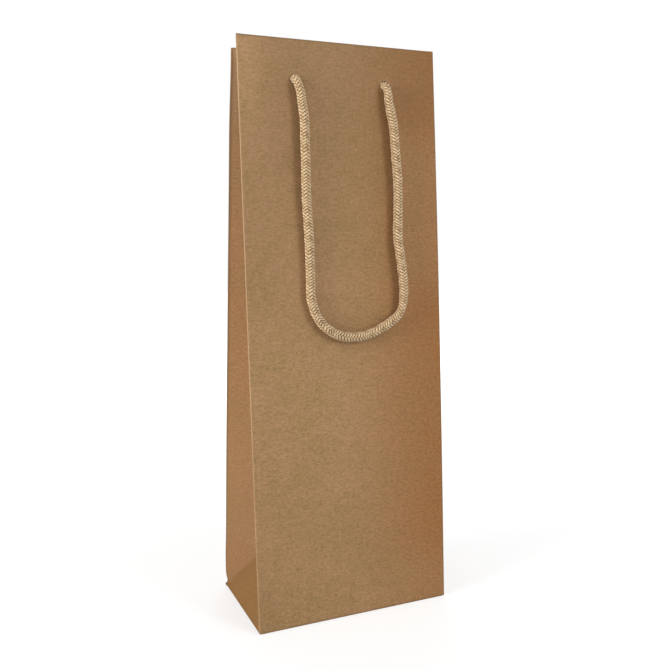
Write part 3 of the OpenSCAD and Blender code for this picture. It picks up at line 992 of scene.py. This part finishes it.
BRAID_STEP = 1.9 * MM
YARNS = 6
YARN_RISE = 0.6 * MM
YARN_SWAP = 0.3 * MM
# A yarn's width, as a share of the step from one yarn to the next
YARN_FILL = 0.84
# How unevenly full the yarns are, and how far their crossings stray along the rope
YARN_UNEVEN = 0.11
STEP_STRAY = 0.2 * MM
# How the yarns' herringbone is turned about the rope, and how much it wanders round it
BRAID_TURN = math.radians(60)
BRAID_WANDER = math.radians(8)
# How far the highest yarns stand out past the rope's nominal radius
BRAID_LIFT = 0.1 * MM
# Lengths along the rope, over 2 pi, of its wandering, straying, yarns' fullness and own unevenness
WANDER_L = 17 * MM
STRAY_LS = (3.3 * MM, 1.9 * MM)
FULLNESS_LS = (6.1 * MM, 3.7 * MM)
UNEVEN_L = 5.3 * MM
# The rope's radius as a share of the nominal one: in its holes and in the open
HOLE_SHARE = 0.82
OPEN_SHARE = 0.98
# What its kink takes off and a swelling adds, where the swelling is, and how unevenly thick it is
KINK_PINCH, KINK_REACH = 0.14, 6 * MM
SWELLING, SWELLING_REACH = 0.07, 9 * MM
SWELLING_TO_END = 98 * MM
THICKNESS_UNEVEN = 0.015
# The meshes' steps along the ropes and points round them: handles, knots and tails
HANDLE_STEP, HANDLE_SIDES = 0.33 * MM, 48
KNOT_STEP, KNOT_SIDES = 0.5 * MM, 24
TAIL_STEP, TAIL_SIDES = 0.4 * MM, 36


def smooth_line(points, step):
    """A curve through the points, with points at even steps along it."""
    p = np.asarray(points, float)
    p = np.concatenate([[2 * p[0] - p[1]], p, [2 * p[-1] - p[-2]]])
    fine = []
    for i in range(1, len(p) - 2):
        a, b, c, d = p[i - 1:i + 3]
        for t in np.linspace(0, 1, 24, endpoint=False):
            fine.append(0.5 * (2 * b + (c - a) * t + (2 * a - 5 * b + 4 * c - d) * t ** 2
                               + (3 * b - a - 3 * c + d) * t ** 3))
    fine = np.array(fine + [p[-2]])
    along = np.concatenate([[0], np.cumsum(np.linalg.norm(np.diff(fine, axis=0), axis=1))])
    at = np.linspace(0, along[-1], max(2, round(along[-1] / step)) + 1)
    return np.stack([np.interp(at, along, fine[:, k]) for k in range(3)], axis=1), at


def carried_frames(line, first):
    """Two directions across the line at each point, carried along it without twist."""
    ahead = unit(np.gradient(line, axis=0))
    side = np.asarray(first, float)
    sides = []
    for a in ahead:
        side = unit(side - a * (side @ a))
        sides.append(side)
    sides = np.array(sides)
    return sides, np.cross(ahead, sides)


def fullness(number, along):
    """How full each yarn is, from crossing to crossing. It is the same again after all the yarns."""
    slow = np.sin(2 * math.pi / YARNS * number + along / FULLNESS_LS[0])
    quick = np.sin(4 * math.pi / YARNS * number - along / FULLNESS_LS[1])
    return 1 + YARN_UNEVEN * (slow + quick)


def braid(angle, along):
    """Two families of yarns that pass over two and under two: their height, and its share."""
    turned = angle + BRAID_TURN + BRAID_WANDER * np.sin(along / WANDER_L)
    turns = turned * YARNS / (2 * math.pi)
    strayed = along + STEP_STRAY * (np.sin(along / STRAY_LS[0]) + np.sin(along / STRAY_LS[1] + 1.3))
    right = turns + strayed / BRAID_STEP
    left = -turns + strayed / BRAID_STEP
    over_right = np.cos(math.pi / 2 * (np.round(right) - left - 0.5))
    over_left = -np.cos(math.pi / 2 * (right - np.round(left) - 0.5))
    families = []
    for place, over, shift in ((right, over_right, 0), (left, over_left, 2)):
        number = np.round(place)
        round_back = np.sqrt(np.maximum(0, 1 - (2 * (place - number) / YARN_FILL) ** 2))
        families.append(YARN_RISE * round_back * fullness(number + shift, along) + YARN_SWAP * over)
    top = np.maximum(*families)
    highest = YARN_RISE + YARN_SWAP
    return top - highest, (top + YARN_SWAP) / (highest + YARN_SWAP)


def tube_mesh(line, at, radius, around, first):
    """Points, faces, yarn heights, painted light and shade by side, and flat places of one length of
    rope with closed ends.
    """
    sides, ups = carried_frames(line, first)
    angle, along = np.meshgrid(np.linspace(0, 2 * math.pi, around, endpoint=False), at)
    radius = np.broadcast_to(radius, len(at))[:, None]
    sunk, share = braid(angle, along)
    reach = radius * (1 + (sunk + BRAID_LIFT) / (CORD_D / 2))
    across = np.cos(angle)[..., None] * sides[:, None] + np.sin(angle)[..., None] * ups[:, None]
    points = line[:, None] + reach[..., None] * across
    faces = [tuple(reversed(f)) for f in grid_faces(len(at), around, closed=True)]
    faces.append(tuple(range(around)))
    faces.append(tuple(reversed(range((len(at) - 1) * around, len(at) * around))))
    flat = np.stack([angle * CORD_D / 2, along], axis=-1)
    # Painted light: 1 on the rope's left side and 0 on its right
    painted_light = 0.5 - 0.5 * across[..., 0]
    return points.reshape(-1, 3), faces, share.ravel(), painted_light.ravel(), flat.reshape(-1, 2)


def rope_piece(name, tubes, material):
    points, faces = [], []
    for tube in tubes:
        faces.extend(tuple(i + len(points) for i in face) for face in tube[1])
        points.extend(tube[0])
    heights, painted_light, flat = (np.concatenate([tube[k] for tube in tubes]) for k in (2, 3, 4))
    piece = new_piece(name, points, faces, [material])
    give_numbers(piece, "height", heights)
    # The rope's painted light and shade by side
    give_numbers(piece, "painted_light", painted_light)
    give_flat_map(piece, flat)
    return piece


def rope_points(wall, mirror, places):
    """Points at places across the wall, below its holes and out from it, in mm."""
    return np.array([wall(mirror * x * MM, HOLE_UP - below * MM, out * MM) for x, below, out in places])


def rope_radius(line, at, kink):
    """Thinner where the rope squeezes through its holes and where its kink flattens it."""
    from_hole = np.minimum(at, at[-1] - at)
    slim = HOLE_SHARE + rise(from_hole, OPEN_SHARE - HOLE_SHARE, 6 * MM, 28 * MM)
    pinch = 1 - KINK_PINCH * hump(np.linalg.norm(line - kink, axis=1), 0, KINK_REACH)
    swelling = SWELLING * hump(at, at[-1] - SWELLING_TO_END, SWELLING_REACH)
    uneven = THICKNESS_UNEVEN * np.sin(at / UNEVEN_L)
    return CORD_D / 2 * slim * pinch * (1 + swelling + uneven)


def handle(name, wall, mirror, node, material):
    line, at = smooth_line(rope_points(wall, mirror, ROPE_LINE), HANDLE_STEP)
    radius = rope_radius(line, at, kink=rope_points(wall, mirror, [ROPE_KINK]))
    tube = tube_mesh(line, at, radius, HANDLE_SIDES, (0, mirror, 0))
    piece = rope_piece(name, [tube], material)
    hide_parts(node)
    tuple(wall(0, HOLE_UP + 1 * MM, 1.5 * MM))
    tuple(wall(0, HOLE_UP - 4 * MM, 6.5 * MM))
    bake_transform(piece)
    exit_point = wall(mirror * -HOLE_X, HOLE_UP, 0)
    print(name, "is", round(at[-1] * 1000, 1), "mm long")
    return piece


# The knotted rope's radius, how far its coil weaves, and its tail: across, down and out, in mm
KNOT_CORD_R = 2.15 * MM
KNOT_WEAVE = 1.1 * MM
KNOT_TAIL = ((0, 2, 0), (0.3, 5, -0.3), (0.5, 9, -0.2), (0.2, 12, 0.4), (0, 14, 0.6))


def knot(name, wall, x, body, node, material):
    """A pulled-tight stopper knot inside the hem, with the rope's end hanging from it."""
    turns = np.linspace(0, 2 * math.pi, 160)
    out = KNOT_W / 2 - KNOT_CORD_R - KNOT_WEAVE + KNOT_WEAVE * np.cos(3 * turns)
    depth = (KNOT_T / 2 - KNOT_CORD_R) * np.sin(3 * turns)
    coil = wall(x + out * np.cos(2 * turns), HOLE_UP + out * np.sin(2 * turns), depth - KNOT_MID)
    line, at = smooth_line(coil[:-4], KNOT_STEP)
    tubes = [tube_mesh(line, at, KNOT_CORD_R, KNOT_SIDES, (0, 0, 1))]
    tail = [wall(x + across * MM, HOLE_UP - below * MM, out * MM - KNOT_MID)
            for across, below, out in KNOT_TAIL]
    line, at = smooth_line(tail, TAIL_STEP)
    radius = CORD_D / 2 * (1 - rise(at, 0.3, at[-1] - 1 * MM, at[-1]))
    tubes.append(tube_mesh(line, at, radius, TAIL_SIDES, (1, 0, 0)))
    piece = rope_piece(name, tubes, material)
    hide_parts(node)
    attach(piece, body)
    return piece


# Floor, background and light

FLOOR_HALF = 4
FLOOR_DROP = 0.2 * MM
# How much the floor glows under the bag, and from where to where it turns white
FLOOR_GLOW = 0.6
FLOOR_FADE = (0.25, 0.9)


def add_floor():
    """A pale floor that keeps a soft shadow near the bag and fades into the white background."""
    points = [(x * FLOOR_HALF, y * FLOOR_HALF, -FLOOR_DROP)
              for x, y in ((-1, -1), (1, -1), (1, 1), (-1, 1))]
    n = Nodes("floor")
    spread = n.node("VectorMath", "Value", {0: n.place()}, operation="LENGTH")
    glow = n.ramp(spread, *FLOOR_FADE, FLOOR_GLOW, 1.0)
    lit = n.node("Emission", "Emission", {"Strength": n.math("MULTIPLY", seen_directly(n.tree), glow)})
    n.finish((0.5, 0.5, 0.5, 1), 1, 0)
    added = n.node("AddShader", "Shader", {0: n.shader.outputs["BSDF"], 1: lit})
    n.link(added, n.output.inputs["Surface"])
    new_piece("floor", points, [(0, 1, 2, 3)], [n.material])


def seen_directly(tree):
    """1 for what the camera sees, straight or through a reflection or glass."""
    path = tree.nodes.new("ShaderNodeLightPath")
    total = path.outputs["Is Camera Ray"]
    for name in ("Is Glossy Ray", "Is Transmission Ray"):
        either = tree.nodes.new("ShaderNodeMath")
        either.operation = "MAXIMUM"
        tree.links.new(total, either.inputs[0])
        tree.links.new(path.outputs[name], either.inputs[1])
        total = either.outputs[0]
    return total


WORLD_LIGHT = 0.45


def add_world():
    world = bpy.data.worlds.new("studio")
    bpy.context.scene.world = world
    world.use_nodes = True
    tree = world.node_tree
    background = tree.nodes["Background"]
    background.inputs["Color"].default_value = (1, 1, 1, 1)
    strength = tree.nodes.new("ShaderNodeMapRange")
    tree.links.new(seen_directly(tree), strength.inputs["Value"])
    strength.inputs["To Min"].default_value = WORLD_LIGHT
    tree.links.new(strength.outputs["Result"], background.inputs["Strength"])


# Name, place, what it is aimed at, the disc's width, and power
LAMPS = (
    ("key_light", (0.72, -1.3, 0.85), (0, 0, 0.17), 0.6, 7.2),
    ("right_light", (1.05, -1.15, 0.6), (0, 0, 0.17), 1.6, 4.6),
    ("left_light", (-1.57, -0.3, 0.5), (-0.03, 0, 0.18), 1.0, 20),
    ("back_light", (0.5, 1.4, 0.9), (0, 0, 0.17), 1.2, 9),
)


def add_lamp(name, place, aim, size, power):
    data = bpy.data.lights.new(name, "AREA")
    data.shape = "DISK"
    data.size = size
    data.energy = power
    lamp = add_object(name, data)
    lamp.location = place
    lamp.rotation_mode = "QUATERNION"
    lamp.rotation_quaternion = (Vector(aim) - Vector(place)).to_track_quat("-Z", "Y")


# The scene

def dress():
    kraft = kraft_material("kraft")
    inside = kraft_material("kraft_inside", light=1.04, wear_and_light_share=0.5)
    greyboard = greyboard_material()
    cotton = rope_material()
    handle("front_rope", on_front, 1, "front_handle_cord", cotton)
    handle("back_rope", on_back, -1, "back_handle_cord", cotton)
    for wall, body, place in ((on_front, "root", "front"), (on_back, "back_wall", "back")):
        for x, side in ((-HOLE_X, "left"), (HOLE_X, "right")):
            node = f"{place}_{side}_knot"
            knot(f"{node}_rope", wall, x, body, node, cotton)
    bag = bag_paper([kraft, inside])
    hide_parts("front_panel", "back_panel", "front_hem", "back_hem")
    for side in ("left", "right"):
        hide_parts(*(f"{side}_gusset_{part}" for part in
                           ("front", "back", "foot", "front_hem", "back_hem")))
    on_back(0, BAG_H / 2, -17 * MM)
    on_back(0, BAG_H / 2, -2.2 * MM)
    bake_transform(bag)
    base = base_paper([kraft, inside])
    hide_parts("front_bottom_flap", "back_bottom_flap", "left_dust_flap", "right_dust_flap")
    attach(base, "root")
    strip = seam_strip(inside)
    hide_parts("side_seam_flap")
    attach(strip, "back_wall")
    for name in ("front_top_card", "back_top_card", "base_card"):
        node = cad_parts[name]
        node.data.materials.clear()
        node.data.materials.append(greyboard)


add_camera()
add_world()
for lamp_numbers in LAMPS:
    add_lamp(*lamp_numbers)
add_floor()
dress()
bpy.context.scene.view_settings.view_transform = "Standard"
